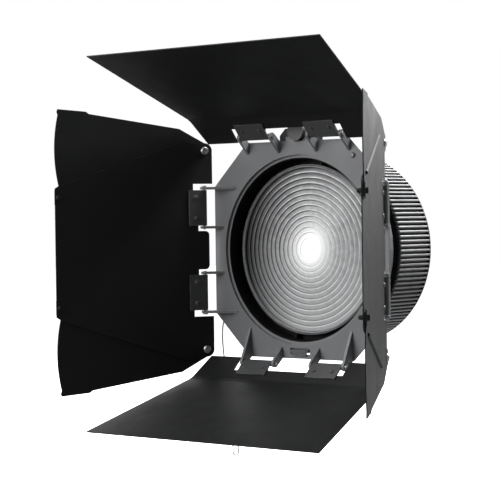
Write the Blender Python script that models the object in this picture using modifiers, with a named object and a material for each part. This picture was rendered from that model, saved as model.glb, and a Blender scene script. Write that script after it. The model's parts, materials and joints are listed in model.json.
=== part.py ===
"""Focusing fresnel lens head with a four-leaf barn-door set.

The lens slides in a fixed barrel, driven by a ribbed focus ring.  The barn-door frame is keyed to the
barrel's front flange, and its leaves swing on pins.  The side leaves carry two swing-out wings each.
Heights are +Z, the light leaves along -Y, and the origin is the centre of the rear bayonet seat.
Inside each builder, y is measured backwards from the frame's front face, because the head empty that
carries the fixed pieces stands there.  Leaf pieces are built flat, in the leaf's own axes:
x along the hinge, y from the hinge to the free edge, z outwards, away from the beam.
"""
import math

import bmesh
import bpy
from mathutils import Matrix, Vector

MM = 0.001
FIT = 0.3 * MM                  # gap between pieces that touch or turn on each other

# Lens and its carriage
LENS_R = 95.2 * MM
LENS_LIP = 1.2 * MM              # lens edge hidden under the retaining ring
CELL_LIP = 2.0 * MM                # cell's seat, inside the lens's clear edge
LENS_BACK = 20.0 * MM           # lens front, behind the frame's face
LENS_EDGE = 6.0 * MM
LENS_RINGS = 4
CELL_WALL = 1.7 * MM
CELL_LENGTH = 46.0 * MM
LENS_TRAVEL = 40.0 * MM
FOCUS_TURN = math.radians(100.0)
RETAINER_THICK = 2.4 * MM
GASKET_THICK = 1.2 * MM
GASKET_WIDTH = 1.0 * MM
FOLLOWER_R = 3.0 * MM
FOLLOWER_COUNT = 3
FOLLOWER_FROM_REAR = 6.0 * MM

# Barrel, focus ring and rear
SLIDE_GAP = 0.5 * MM
BARREL_WALL = 2.4 * MM
FRONT_GROOVE = 6.3 * MM          # dark groove round the lens cell
FRONT_BORE_DEPTH = 26.0 * MM
FRONT_TUBE_WALL = 1.4 * MM
FRONT_TUBE_END = 35.5 * MM
FLANGE_WIDTH = 11.6 * MM
FLANGE_THICK = 6.0 * MM
BRIDGE_COUNT = 4
RING_FRONT = 42.3 * MM
RING_LENGTH = 66.2 * MM
RING_WALL = 3.1 * MM
GRIP_BASE = 3.4 * MM
GRIP_FRONT_RIM = 1.7 * MM        # bare ring in front of the grip
GRIP_REAR_RIM = 4.5 * MM
RIB_HEIGHT = 2.8 * MM
RIB_COUNT = 128
REAR_WALL = 4.0 * MM
REAR_LENGTH = 8.0 * MM
BAYONET_R = 74.0 * MM
BAYONET_BORE_R = 62.0 * MM
BAYONET_LENGTH = 9.0 * MM
LUG_LENGTH = 5.0 * MM
LUG_COUNT = 3

# Barn-door frame
FRAME_MARGIN = 6.5 * MM          # frame, past the barrel's flange
FRAME_CHAMFER = 49.7 * MM
FRAME_THICK = 3.0 * MM
APERTURE_STEP = 4.0 * MM         # frame's aperture, outside the barrel's bore
HINGE_OVERHANG = 5.5 * MM       # hinge axis, outside the frame's edge
HINGE_FORE = 13.5 * MM          # hinge axis, in front of the frame's face
EAR_INNER = 26.6 * MM
EAR_THICK = 3.0 * MM
EAR_EYE_WALL = 2.6 * MM
GUSSET_SHORT = 13.7 * MM         # gusset's reach in from the frame's edge
GUSSET_LONG = 33.5 * MM
PIN_R = 2.0 * MM
PIN_HEAD_RIM = 1.2 * MM
PIN_HEAD = 1.3 * MM
CLAW_HALF = 12.0 * MM
CLAW_BITE = 2.0 * MM             # claw, inside the flange's edge
CLAW_THICK = 3.2 * MM
SCREW_R = 1.5 * MM
ANCHOR_DEPTH = 2.0 * MM         # cable anchor's blind hole in the frame's back
KNOB_R = 11.0 * MM
KNOB_OVERHANG = 11.0 * MM        # knob's centre, outside the frame's edge
NOTCH_GAP = 1.3 * MM
KNOB_FORE = 4.5 * MM
LATCH_BLOCK_HALF = 9.0 * MM
LATCH_BLOCK = 15.0 * MM         # latch block, back from the barrel's front
LATCH_ROD_BACK = 8.0 * MM
LATCH_ROD_R = 2.6 * MM
LATCH_SPRING = 9.0 * MM
CHEEK_GAP = 3.0 * MM
CHEEK_WIDTH = 14.0 * MM
CHEEK_THICK = 7.0 * MM
CHEEK_RISE = 3.5 * MM            # cheek's top, above the knob's centre

# Leaves
SHEET = 1.2 * MM
KNUCKLE_WALL = 1.2 * MM
KNUCKLE_REACH = 20.0 * MM
RIVET_R = 1.5 * MM
RIVET_INSET = 8.4 * MM           # hinge plate's rivets, in from its ends
RIVET_UP = 11.0 * MM            # hinge plate's rivets, up from the hinge axis
RIVET_HEAD_R = 2.7 * MM
LEAF_REACH = 182.0 * MM         # side leaf, hinge axis to free edge
TAIL = 10.0 * MM                # side leaf, past the hinge axis towards the frame
MID_TAIL = 5.5 * MM
SIDE_FREE_HALF = 73.0 * MM
STRIP = 30.0 * MM               # end leaf, hinge axis to fold
PANEL = 153.5 * MM              # end leaf, fold to free edge
FOLD = math.radians(25.0)
END_INSET = 0.9 * MM             # end leaf's hinge edge, inside the frame's corner
END_FOLD_FLARE = 9.8 * MM
END_FREE_FLARE = 40.0 * MM
WING_PIVOT_IN = 7.5 * MM         # wing pivot, inside the frame's edge
WING_PIVOT_BACK = 1.0 * MM
WING_OVER = 0.4 * MM             # wing's arc, past the leaf's reach
WING_HUB_R = 9.3 * MM
WING_COVER = 5.9 * MM            # wing's straight inner edge, past the clip's rivet
PIVOT_R = 2.5 * MM
PIVOT_HEAD_R = 4.7 * MM
CLIP_IN = 10.5 * MM              # clip's rivet, inside the free edge's end
CLIP_GAP = 0.5 * MM
CLIP_BOSS = 4.6 * MM             # clip's boss on the inner side
CLIP_HALF = 8.0 * MM
CLIP_FOOT_HALF = 5.5 * MM
CLIP_FOOT = 2.9 * MM            # clip's foot, from its rivet to the wing's arc
CLIP_LIP = 9.0 * MM             # clip's lip, over the wing
CLIP_BLOCK_HALF = 3.0 * MM
CLIP_BLOCK = 4.2 * MM
BEAD_R = 2.1 * MM               # stiffening bead on the wing, beside the leaf's slanted edge
BEAD_START = (5.0 * MM, 57.0 * MM)      # about the wing's pivot, on the wing of the +x end
BEAD_END = (-35.6 * MM, 165.0 * MM)

# Rest angles: leaf against the frame's plane
LEFT_FLARE = math.radians(62.5)
RIGHT_FLARE = math.radians(61.7)
TOP_FLARE = math.radians(38.8)
BOTTOM_FLARE = math.radians(46.0)

# Safety cable, points in the head's axes and in millimetres
CABLE_R = 0.8 * MM
CABLE_ROUTE = ((-113, 10.6, -77.5), (-117.5, 10.6, -80.5), (-121.5, 10.7, -85), (-124, 11.2, -96),
               (-124.8, 12.5, -114), (-123.5, 15, -138), (-120.5, 18.2, -162), (-117.8, 20.4, -184),
               (-116.6, 21.4, -200), (-116.3, 21.7, -210))

# Derived sizes
LENS_CLEAR_R = LENS_R - LENS_LIP
CELL_R = LENS_R + FIT + CELL_WALL
CELL_FRONT = LENS_BACK - RETAINER_THICK
BARREL_BORE_R = CELL_R + SLIDE_GAP
BARREL_R = BARREL_BORE_R + BARREL_WALL
FRONT_BORE_R = BARREL_BORE_R + FRONT_GROOVE
FRONT_TUBE_R = FRONT_BORE_R + FRONT_TUBE_WALL
FLANGE_R = FRONT_TUBE_R + FLANGE_WIDTH
BARREL_FRONT = FRAME_THICK + FIT
LATCH_ROD_Y = BARREL_FRONT + LATCH_ROD_BACK
RING_BORE_R = BARREL_R + FIT
RING_R = RING_BORE_R + RING_WALL
GRIP_BORE_R = RING_R + FIT
GRIP_R = GRIP_BORE_R + GRIP_BASE
RING_REAR = RING_FRONT + RING_LENGTH
REAR_FRONT = RING_REAR + FIT
BAYONET_FRONT = REAR_FRONT + REAR_LENGTH + FIT
DEPTH = BAYONET_FRONT + BAYONET_LENGTH
FOLLOWER_Y = CELL_FRONT + CELL_LENGTH - FOLLOWER_FROM_REAR
GRIP_FRONT = RING_FRONT + GRIP_FRONT_RIM
GRIP_REAR = RING_REAR - GRIP_REAR_RIM
FRAME_HALF = FLANGE_R + FRAME_MARGIN
FRAME_NEAR = FRAME_HALF - FRAME_CHAMFER
APERTURE_R = FRONT_BORE_R + APERTURE_STEP
HINGE_OUT = FRAME_HALF + HINGE_OVERHANG
EAR_OUTER = FRAME_NEAR - EAR_THICK / 2
EAR_EYE_R = PIN_R + EAR_EYE_WALL
PIN_HEAD_R = PIN_R + PIN_HEAD_RIM
CLAW_OUT = FLANGE_R - CLAW_BITE
KNOB_OUT = FRAME_HALF + KNOB_OVERHANG
LATCH_FLOOR = FRONT_TUBE_R + 7 * FIT
LATCH_TOP = KNOB_OUT - KNOB_R + 6.0 * MM
CHEEK_INNER = KNOB_R + CHEEK_GAP
CHEEK_OUTER = CHEEK_INNER + CHEEK_WIDTH
CHEEK_TOP = KNOB_OUT + CHEEK_RISE
KNUCKLE_R = PIN_R + FIT + KNUCKLE_WALL
KNUCKLE_GAP = 0.6 * MM
KNUCKLE_START = EAR_INNER + EAR_THICK / 2 + KNUCKLE_GAP
KNUCKLE_END = EAR_OUTER - EAR_THICK / 2 - KNUCKLE_GAP
FLAT_INNER = -KNUCKLE_R
SHEET_INNER = FLAT_INNER + KNUCKLE_WALL + FIT
SHEET_OUTER = SHEET_INNER + SHEET
WING_INNER = SHEET_OUTER + FIT
WING_OUTER = WING_INNER + SHEET
WINDOW = KNUCKLE_R + 2 * FIT    # sheet's edge beside the knuckle's barrel
EAR_SLOT_IN = EAR_THICK / 2 + 2.6 * MM
EAR_SLOT_OUT = EAR_THICK / 2 + 3.7 * MM
END_HINGE_HALF = FRAME_HALF - END_INSET
END_FOLD_HALF = END_HINGE_HALF + END_FOLD_FLARE
END_FREE_HALF = END_HINGE_HALF + END_FREE_FLARE
WING_PIVOT_OUT = FRAME_HALF - WING_PIVOT_IN
WING_R = LEAF_REACH + WING_OVER
CLIP_OUT = SIDE_FREE_HALF - CLIP_IN
WING_INNER_EDGE = -math.asin((WING_PIVOT_OUT - CLIP_OUT + WING_COVER) / WING_R)
CLIP_SIDE = WING_PIVOT_OUT - CLIP_OUT - CLIP_FOOT_HALF
CLIP_UP = math.sqrt(WING_R ** 2 - CLIP_SIDE ** 2) - WING_PIVOT_BACK + CLIP_GAP + CLIP_FOOT

SIDES = {"top": (0, 0, 1), "bottom": (0, 0, -1), "left": (-1, 0, 0), "right": (1, 0, 0)}
FLARES = {"top": TOP_FLARE, "bottom": BOTTOM_FLARE, "left": LEFT_FLARE, "right": RIGHT_FLARE}

PARTS = None
TOOLS = None
MATERIALS = {}


# ---------------------------------------------------------------- scene and helpers
def clear_scene():
    for item in list(bpy.data.objects):
        bpy.data.objects.remove(item, do_unlink=True)


def make_collection(name):
    group = bpy.data.collections.new(name)
    bpy.context.scene.collection.children.link(group)
    return group


def material(name, colour, roughness, metallic=0.0):
    if name not in MATERIALS:
        made = bpy.data.materials.new(name)
        made.use_nodes = True
        shader = made.node_tree.nodes["Principled BSDF"]
        shader.inputs["Base Color"].default_value = (*colour, 1.0)
        shader.inputs["Roughness"].default_value = roughness
        shader.inputs["Metallic"].default_value = metallic
        MATERIALS[name] = made
    return MATERIALS[name]


def black_sheet():
    return material("black_sheet", (0.024, 0.025, 0.027), 0.55)


def black_casting():
    return material("black_casting", (0.09, 0.092, 0.095), 0.5)


def bright_steel():
    return material("bright_steel", (0.55, 0.55, 0.56), 0.35, 1.0)


def dark_steel():
    return material("dark_steel", (0.1, 0.1, 0.105), 0.45, 0.8)


def add_part(name, mesh, finish, parent=None):
    part = bpy.data.objects.new(name, mesh)
    mesh.materials.clear()
    mesh.materials.append(finish)
    mesh.shade_smooth()
    mesh.set_sharp_from_angle(angle=math.radians(35))
    PARTS.objects.link(part)
    part.parent = parent
    return part


def add_tool(name, mesh, parent=None):
    tool = bpy.data.objects.new(name, mesh)
    TOOLS.objects.link(tool)
    tool.hide_render = True
    tool.display_type = "WIRE"
    tool.parent = parent
    return tool


def combine(part, tool, operation):
    step = part.modifiers.new(operation.lower(), "BOOLEAN")
    step.operation = operation
    step.object = tool
    step.solver = "EXACT"


def mesh_from(build):
    work = bmesh.new()
    build(work)
    mesh = bpy.data.meshes.new("mesh")
    work.to_mesh(mesh)
    work.free()
    return mesh


def box_mesh(low, high):
    low, high = Vector(low), Vector(high)
    size = high - low
    place = Matrix.Translation((low + high) / 2) @ Matrix.Diagonal((*size, 1.0))
    return mesh_from(lambda work: bmesh.ops.create_cube(work, size=1.0, matrix=place))


def rod_matrix(start, end):
    start, end = Vector(start), Vector(end)
    turn = (end - start).to_track_quat("Z", "Y").to_matrix().to_4x4()
    return Matrix.Translation((start + end) / 2) @ turn


def rod_mesh(start, end, radius, sides=20, end_radius=None):
    length = (Vector(end) - Vector(start)).length
    far = radius if end_radius is None else end_radius
    return mesh_from(lambda work: bmesh.ops.create_cone(
        work, cap_ends=True, segments=sides, radius1=radius, radius2=far, depth=length,
        matrix=rod_matrix(start, end)))


def joined(meshes):
    work = bmesh.new()
    for mesh in meshes:
        work.from_mesh(mesh)
        bpy.data.meshes.remove(mesh)
    result = bpy.data.meshes.new("joined")
    work.to_mesh(result)
    work.free()
    return result


def moved(mesh, matrix):
    mesh.transform(matrix)
    return mesh


def evaluated_mesh(item):
    """The item's mesh as the viewport shows it, with loose caps welded; the item is removed."""
    graph = bpy.context.evaluated_depsgraph_get()
    mesh = bpy.data.meshes.new_from_object(item.evaluated_get(graph))
    work = bmesh.new()
    work.from_mesh(mesh)
    bmesh.ops.remove_doubles(work, verts=work.verts, dist=1e-6)
    work.to_mesh(mesh)
    work.free()
    bpy.data.objects.remove(item, do_unlink=True)
    return mesh


def outline_mesh(loops, low, high):
    """A flat plate: the first loop is its edge and the others are holes, from z low to z high."""
    curve = bpy.data.curves.new("outline", "CURVE")
    curve.dimensions = "2D"
    curve.fill_mode = "BOTH"
    curve.extrude = (high - low) / 2
    for loop in loops:
        spline = curve.splines.new("POLY")
        spline.points.add(len(loop) - 1)
        for point, (x, y) in zip(spline.points, loop):
            point.co = (x, y, 0, 1)
        spline.use_cyclic_u = True
    item = bpy.data.objects.new("outline", curve)
    TOOLS.objects.link(item)
    bpy.context.view_layer.update()
    mesh = evaluated_mesh(item)
    bpy.data.curves.remove(curve)
    return moved(mesh, Matrix.Translation((0, 0, (low + high) / 2)))


def wire_mesh(points, radius, resolution=2):
    curve = bpy.data.curves.new("wire", "CURVE")
    curve.dimensions = "3D"
    curve.bevel_depth = radius
    curve.bevel_resolution = resolution
    curve.use_fill_caps = True
    spline = curve.splines.new("POLY")
    spline.points.add(len(points) - 1)
    for point, place in zip(spline.points, points):
        point.co = (*place, 1)
    item = bpy.data.objects.new("wire", curve)
    TOOLS.objects.link(item)
    bpy.context.view_layer.update()
    mesh = evaluated_mesh(item)
    bpy.data.curves.remove(curve)
    return mesh


def turned(name, profile, finish, parent, steps=48, ring=True):
    """A body turned about the Y axis.

    The profile lists (radius, y) down its outer side from front to back, then inwards and forwards.
    A ring's profile is closed; a disc's starts and ends on the axis.
    """
    work = bmesh.new()
    verts = [work.verts.new((r, y, 0)) for r, y in reversed(profile)]
    ends = verts[1:] + verts[:1] if ring else verts[1:]
    for first, second in zip(verts, ends):
        work.edges.new((first, second))
    mesh = bpy.data.meshes.new(name)
    work.to_mesh(mesh)
    work.free()
    part = add_part(name, mesh, finish, parent)
    screw = part.modifiers.new("turn", "SCREW")
    screw.axis = "Y"
    screw.steps = steps
    screw.render_steps = steps
    screw.use_merge_vertices = True
    screw.merge_threshold = 0.00001
    screw.use_normal_calculate = False
    return part


def arc(centre, radius, start, end, count):
    """Points of an arc; angles in radians, counted from +x towards +y."""
    return [(centre[0] + radius * math.cos(start + (end - start) * i / (count - 1)),
             centre[1] + radius * math.sin(start + (end - start) * i / (count - 1)))
            for i in range(count)]


def circle(centre, radius, count):
    return arc(centre, radius, 0, 2 * math.pi, count + 1)[:-1]


def to_front(mesh):
    """Turns a plate drawn in x and y upright: its y becomes up and its z becomes front."""
    return moved(mesh, Matrix.Rotation(math.pi / 2, 4, "X"))


def spin(angle):
    """Turn about the optical axis, from top towards the right."""
    return Matrix.Rotation(angle, 4, "Y")


# ---------------------------------------------------------------- lens carriage
def lens_profile():
    """Flat back; stepped front whose teeth lean towards the axis, with a domed centre."""
    front, back = LENS_BACK + FIT, LENS_BACK + FIT + LENS_EDGE
    pitch = LENS_CLEAR_R / (LENS_RINGS + 1.5)
    depth = 2.6 * MM
    points = [(0, front - 0.4 * MM), (pitch * 0.8, front), (pitch * 1.5, front + depth)]
    for index in range(LENS_RINGS):
        radius = pitch * (1.5 + index)
        points += [(radius + 0.3 * MM, front), (radius + pitch, front + depth)]
    points += [(LENS_CLEAR_R + 0.3 * MM, front), (LENS_R, front), (LENS_R, back), (0, back)]
    return points


def build_lens(head):
    glass = material("lens_glass", (0.85, 0.87, 0.88), 0.05)
    turned("fresnel_lens", lens_profile(), glass, head, ring=False)


def build_cell(head):
    rear = CELL_FRONT + CELL_LENGTH
    seat = LENS_BACK + LENS_EDGE + 2 * FIT + GASKET_THICK + FIT
    lip_r = LENS_CLEAR_R - CELL_LIP
    outline = [(CELL_R, LENS_BACK), (CELL_R, rear), (LENS_R + FIT, rear),
               (LENS_R + FIT, seat + 3 * MM), (lip_r, seat + 3 * MM), (lip_r, seat),
               (LENS_R + FIT, seat), (LENS_R + FIT, LENS_BACK)]
    cell = turned("lens_cell", outline, black_casting(), head)
    holes = []
    for index in range(FOLLOWER_COUNT):
        hole = rod_mesh((0, FOLLOWER_Y, LENS_R - 2 * MM), (0, FOLLOWER_Y, CELL_R + 2 * MM), FOLLOWER_R + FIT)
        holes.append(moved(hole, spin(follower_angle(index))))
    combine(cell, add_tool("cell_holes", joined(holes), head), "DIFFERENCE")


def follower_angle(index):
    return 2 * math.pi * (index + 0.5) / FOLLOWER_COUNT


def build_followers(head):
    for index in range(FOLLOWER_COUNT):
        shank = rod_mesh((0, FOLLOWER_Y, LENS_R - 1.6 * MM), (0, FOLLOWER_Y, RING_R - FIT), FOLLOWER_R)
        flange = rod_mesh((0, FOLLOWER_Y, LENS_R - 3 * MM), (0, FOLLOWER_Y, LENS_R - 1 * MM),
                          FOLLOWER_R + 1.5 * MM)
        part = add_part(f"cam_follower_{index + 1}", shank, bright_steel(), head)
        combine(part, add_tool(f"follower_flange_{index + 1}", flange, head), "UNION")
        for item in (part.data, flange):
            item.transform(spin(follower_angle(index)))


def build_retainer(head):
    back = LENS_BACK - FIT
    turned("lens_retaining_ring", [(CELL_R, back - RETAINER_THICK), (CELL_R, back),
                                   (LENS_CLEAR_R, back), (LENS_CLEAR_R, back - RETAINER_THICK + 0.8 * MM),
                                   (LENS_CLEAR_R + 1.2 * MM, back - RETAINER_THICK)],
           material("ring_grey", (0.28, 0.285, 0.29), 0.45), head)
    front = LENS_BACK + LENS_EDGE + 2 * FIT
    turned("lens_gasket", [(LENS_R, front), (LENS_R, front + GASKET_THICK),
                           (LENS_R - GASKET_WIDTH, front + GASKET_THICK),
                           (LENS_R - GASKET_WIDTH, front)],
           material("rubber", (0.02, 0.02, 0.02), 0.8), head)


# ---------------------------------------------------------------- barrel and focus ring
def build_barrel(head):
    flange_back = BARREL_FRONT + FLANGE_THICK
    outline = [(FLANGE_R, BARREL_FRONT), (FLANGE_R, flange_back), (FRONT_TUBE_R, flange_back),
               (FRONT_TUBE_R, FRONT_TUBE_END), (BARREL_R, FRONT_TUBE_END),
               (BARREL_R, RING_REAR), (BARREL_BORE_R, RING_REAR), (BARREL_BORE_R, FRONT_BORE_DEPTH),
               (FRONT_BORE_R, FRONT_BORE_DEPTH), (FRONT_BORE_R, BARREL_FRONT)]
    barrel = turned("barrel", outline, black_casting(), head)
    bridges = []
    for index in range(BRIDGE_COUNT):
        bridge = box_mesh((-1.3 * MM, LENS_BACK - 2 * MM, BARREL_BORE_R + 0.1 * MM),
                          (1.3 * MM, FRONT_BORE_DEPTH + 1 * MM, FRONT_BORE_R + 0.7 * MM))
        bridges.append(moved(bridge, spin(math.radians(11.3) + index * 2 * math.pi / BRIDGE_COUNT)))
    combine(barrel, add_tool("bore_bridges", joined(bridges), head), "UNION")
    combine(barrel, add_tool("latch_block", latch_block_mesh(), head), "UNION")
    for sign in (-1, 1):
        combine(barrel, add_tool(f"latch_cheek_{sign}", cheek_mesh(sign), head), "UNION")
    slots = []
    for index in range(FOLLOWER_COUNT):
        slot = slot_mesh(FOLLOWER_R + FIT, LENS_TRAVEL, CELL_R - 0.3 * MM, RING_R)
        slots.append(moved(slot, spin(follower_angle(index)) @ Matrix.Translation((0, FOLLOWER_Y, 0))))
    bore = rod_mesh((0, LATCH_ROD_Y, LATCH_FLOOR), (0, LATCH_ROD_Y, KNOB_OUT), LATCH_ROD_R + FIT, 16)
    combine(barrel, add_tool("barrel_slots", joined(slots + [bore]), head), "DIFFERENCE")


def latch_block_mesh():
    half = LATCH_BLOCK_HALF
    return box_mesh((-half, BARREL_FRONT + 0.2 * MM, FRONT_TUBE_R - 2 * MM),
                    (half, BARREL_FRONT + LATCH_BLOCK, LATCH_TOP))


def cheek_mesh(sign):
    """One upright guard beside the latch knob, standing on the barrel's flange."""
    front = BARREL_FRONT + 0.2 * MM
    foot = FRONT_TUBE_R - 1 * MM
    loop = [(CHEEK_INNER, -CHEEK_TOP), (CHEEK_INNER, -foot), (CHEEK_OUTER, -foot),
            (CHEEK_OUTER, -CHEEK_TOP + 8 * MM), (CHEEK_OUTER - 8 * MM, -CHEEK_TOP)]
    mesh = outline_mesh([[(sign * x, -y) for x, y in loop]], -front - CHEEK_THICK, -front)
    return to_front(mesh)


def slot_mesh(radius, length, low, high):
    """An upright plug with round ends: centres at y 0 and at y length, from z low to z high."""
    loop = arc((0, 0), radius, math.pi, 2 * math.pi, 9) + arc((0, length), radius, 0, math.pi, 9)
    return outline_mesh([loop], low, high)


def helix(angle, turn, radius, rise, count):
    """Points from y 0, at an angle about the optical axis, turning as they go back."""
    points = []
    for index in range(count):
        share = index / (count - 1)
        now = angle + turn * share
        points.append((radius * math.sin(now), rise * share, radius * math.cos(now)))
    return points


def build_focus_ring(head):
    core = turned("focus_ring", [(RING_R, RING_FRONT), (RING_R, RING_REAR), (RING_BORE_R, RING_REAR),
                                 (RING_BORE_R, RING_FRONT)], black_casting(), head)
    cams = []
    for index in range(FOLLOWER_COUNT):
        path = helix(follower_angle(index), FOCUS_TURN, (RING_R + RING_BORE_R) / 2, LENS_TRAVEL, 12)
        path = [(x, y + FOLLOWER_Y, z) for x, y, z in path]
        cams.append(wire_mesh(path, FOLLOWER_R + 0.9 * MM, resolution=1))
        for end in (path[0], path[-1]):
            way = Vector((end[0], 0, end[2])).normalized() * 3 * MM
            cams.append(rod_mesh(Vector(end) - way, Vector(end) + way, FOLLOWER_R + 0.85 * MM, 16))
    tool = add_tool("cam_cutters", cams[0], head)
    for index, mesh in enumerate(cams[1:]):
        combine(tool, add_tool(f"cam_cutter_{index}", mesh, head), "UNION")
    combine(core, tool, "DIFFERENCE")


def grip_loop():
    loop = []
    pitch = 2 * math.pi / RIB_COUNT
    for index in range(RIB_COUNT):
        for share, radius in ((0.0, GRIP_R), (0.15, GRIP_R + RIB_HEIGHT), (0.5, GRIP_R + RIB_HEIGHT),
                              (0.65, GRIP_R)):
            angle = (index + share) * pitch
            loop.append((radius * math.cos(angle), radius * math.sin(angle)))
    return loop


def build_grip(head):
    band = outline_mesh([grip_loop(), circle((0, 0), GRIP_BORE_R, 96)], -GRIP_REAR, -GRIP_FRONT)
    add_part("focus_grip", to_front(band), material("grip_rubber", (0.16, 0.163, 0.167), 0.6), head)


# ---------------------------------------------------------------- rear housing and bayonet
def build_rear(head):
    rear = REAR_FRONT + REAR_LENGTH
    housing = [(RING_R, REAR_FRONT), (RING_R - 3 * MM, REAR_FRONT + 2.5 * MM),
               (BAYONET_R + 6 * MM, rear), (BAYONET_BORE_R, rear), (BAYONET_BORE_R, rear - REAR_WALL),
               (BARREL_R - 6 * MM, REAR_FRONT + 1.5 * MM), (BARREL_R - 6 * MM, REAR_FRONT)]
    turned("rear_housing", housing, black_casting(), head)
    mount = turned("bayonet_mount", [(BAYONET_R, BAYONET_FRONT), (BAYONET_R, DEPTH),
                                     (BAYONET_BORE_R, DEPTH), (BAYONET_BORE_R, BAYONET_FRONT)],
                   bright_steel(), head)
    lugs = []
    for index in range(LUG_COUNT):
        half = math.radians(16)
        loop = (arc((0, 0), BAYONET_R + LUG_LENGTH, math.pi / 2 - half, math.pi / 2 + half, 5)
                + arc((0, 0), BAYONET_R - 2 * MM, math.pi / 2 + half, math.pi / 2 - half, 5))
        lug = to_front(outline_mesh([loop], -DEPTH + 2 * MM, -DEPTH + 5 * MM))
        lugs.append(moved(lug, spin(2 * math.pi * index / LUG_COUNT)))
    combine(mount, add_tool("bayonet_lugs", joined(lugs), head), "UNION")
    holes = []
    seats = []
    for index in range(LUG_COUNT):
        turn = spin(2 * math.pi * (index + 0.5) / LUG_COUNT)
        middle = (BAYONET_R + BAYONET_BORE_R) / 2
        low, high = BAYONET_FRONT - 2 * MM, DEPTH + 1 * MM
        holes.append(moved(rod_mesh((0, low, middle), (0, high, middle), 2 * MM + FIT, 12), turn))
        seats.append(moved(rod_mesh((0, DEPTH - 3 * MM, middle), (0, high, middle), 4 * MM, 12), turn))
    combine(mount, add_tool("bayonet_screw_holes", joined(holes), head), "DIFFERENCE")
    combine(mount, add_tool("bayonet_screw_seats", joined(seats), head), "DIFFERENCE")
    for index in range(LUG_COUNT):
        turn = spin(2 * math.pi * (index + 0.5) / LUG_COUNT)
        middle = (BAYONET_R + BAYONET_BORE_R) / 2
        shank = rod_mesh((0, BAYONET_FRONT, middle), (0, DEPTH - 2.2 * MM, middle), 2 * MM, 16)
        cap = rod_mesh((0, DEPTH - 3 * MM + FIT, middle), (0, DEPTH - 0.6 * MM, middle), 3.5 * MM, 16)
        part = add_part(f"bayonet_screw_{index + 1}", moved(shank, turn), dark_steel(), head)
        combine(part, add_tool(f"bayonet_screw_cap_{index + 1}", moved(cap, turn), head), "UNION")


# ---------------------------------------------------------------- barn-door frame, claw and latch
def ear_loop(tip):
    """Gusset and hinge eye seen along the hinge: x out from the optical axis, y to the front."""
    eye = (HINGE_OUT, HINGE_FORE)
    sweep = arc(eye, EAR_EYE_R, math.radians(128), math.radians(-45), 8)
    return [(tip, -0.5 * MM), (tip + 1.0 * MM, 0.8 * MM)] + sweep + [(FRAME_HALF, -0.5 * MM)]


def ear_mesh(side, along, tip):
    """One ear: drawn flat, stood up across the hinge and turned to its side of the frame."""
    mesh = outline_mesh([ear_loop(tip)], along - EAR_THICK / 2, along + EAR_THICK / 2)
    out = Vector(SIDES[side])
    front = Vector((0, -1, 0))
    across = out.cross(front)
    turn = Matrix((out, front, across)).transposed().to_4x4()
    return moved(mesh, turn)


def frame_tips(side):
    short, long = FRAME_HALF - GUSSET_SHORT, FRAME_HALF - GUSSET_LONG
    return (short if side == "top" else long, short)


def side_frame(side):
    """Hinge direction, outward direction and hinge centre of one side, in the head's axes."""
    out = Vector(SIDES[side])
    along = out.cross(Vector((0, 1, 0)))
    centre = out * HINGE_OUT + Vector((0, -HINGE_FORE, 0))
    return along, out, centre


def build_frame(head):
    far, near = FRAME_HALF, FRAME_NEAR
    edge = [(far, -near), (far, near), (near, far), (-near, far), (-far, near), (-far, -near),
            (-near, -far), (near, -far)]
    slot_gap = 2 * FIT + 1.4 * MM
    slot = [(-CLAW_HALF - slot_gap, -CLAW_OUT - CLAW_THICK / 2 - slot_gap),
            (CLAW_HALF + slot_gap, -CLAW_OUT - CLAW_THICK / 2 - slot_gap),
            (CLAW_HALF + slot_gap, -CLAW_OUT + CLAW_THICK / 2 + slot_gap),
            (-CLAW_HALF - slot_gap, -CLAW_OUT + CLAW_THICK / 2 + slot_gap)]
    plate = to_front(outline_mesh([edge, circle((0, 0), APERTURE_R, 56), slot], -FRAME_THICK, 0))
    frame = add_part("barn_door_frame", plate, black_casting(), head)
    ears = []
    for side in SIDES:
        outer_tip, inner_tip = frame_tips(side)
        for sign in (-1, 1):
            ears.append(ear_mesh(side, sign * EAR_OUTER, outer_tip))
            ears.append(ear_mesh(side, sign * EAR_INNER, inner_tip))
    lug_half, lug_top = KNOB_R + 6 * MM, LATCH_TOP - 1 * MM
    ears.append(box_mesh((-lug_half, 0.4 * MM, FRAME_HALF - 3 * MM),
                         (lug_half, FRAME_THICK - 0.4 * MM, lug_top)))
    combine(frame, add_tool("frame_ears", joined(ears), head), "UNION")
    cuts = []
    for side in SIDES:
        along, _, centre = side_frame(side)
        for sign in (-1, 1):
            start = centre + along * sign * (EAR_INNER - 4 * MM)
            end = centre + along * sign * (EAR_OUTER + 4 * MM)
            cuts.append(rod_mesh(start, end, PIN_R + FIT, 12))
    cuts.append(rod_mesh((0, -2 * MM, KNOB_OUT), (0, FRAME_THICK + 2 * MM, KNOB_OUT),
                         KNOB_R + NOTCH_GAP, 40))
    beyond = FRAME_THICK + 1 * MM
    cuts.append(rod_mesh(screw_place(-1 * MM), screw_place(beyond), SCREW_R + FIT, 12))
    cuts.append(rod_mesh(anchor_place(FRAME_THICK - ANCHOR_DEPTH), anchor_place(beyond), SCREW_R + FIT, 12))
    combine(frame, add_tool("frame_cuts", joined(cuts), head), "DIFFERENCE")


def screw_place(y):
    return (FRAME_HALF - 46.1 * MM, y, FRAME_HALF - 18.6 * MM)


def anchor_place(y):
    return (15.0 * MM - FRAME_HALF, y, 46.5 * MM - FRAME_HALF)


def build_claw(head):
    low, high = -CLAW_OUT - CLAW_THICK / 2, -CLAW_OUT + CLAW_THICK / 2
    bar = box_mesh((-CLAW_HALF, -1.6 * MM, low), (CLAW_HALF, BARREL_FRONT - FIT, high))
    claw = add_part("bottom_claw", bar, dark_steel(), head)
    foot = box_mesh((-CLAW_HALF + 2 * MM, -2.4 * MM, low - 3.2 * MM), (CLAW_HALF - 2 * MM, -0.4 * MM, high))
    combine(claw, add_tool("claw_lip", foot, head), "UNION")


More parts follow.
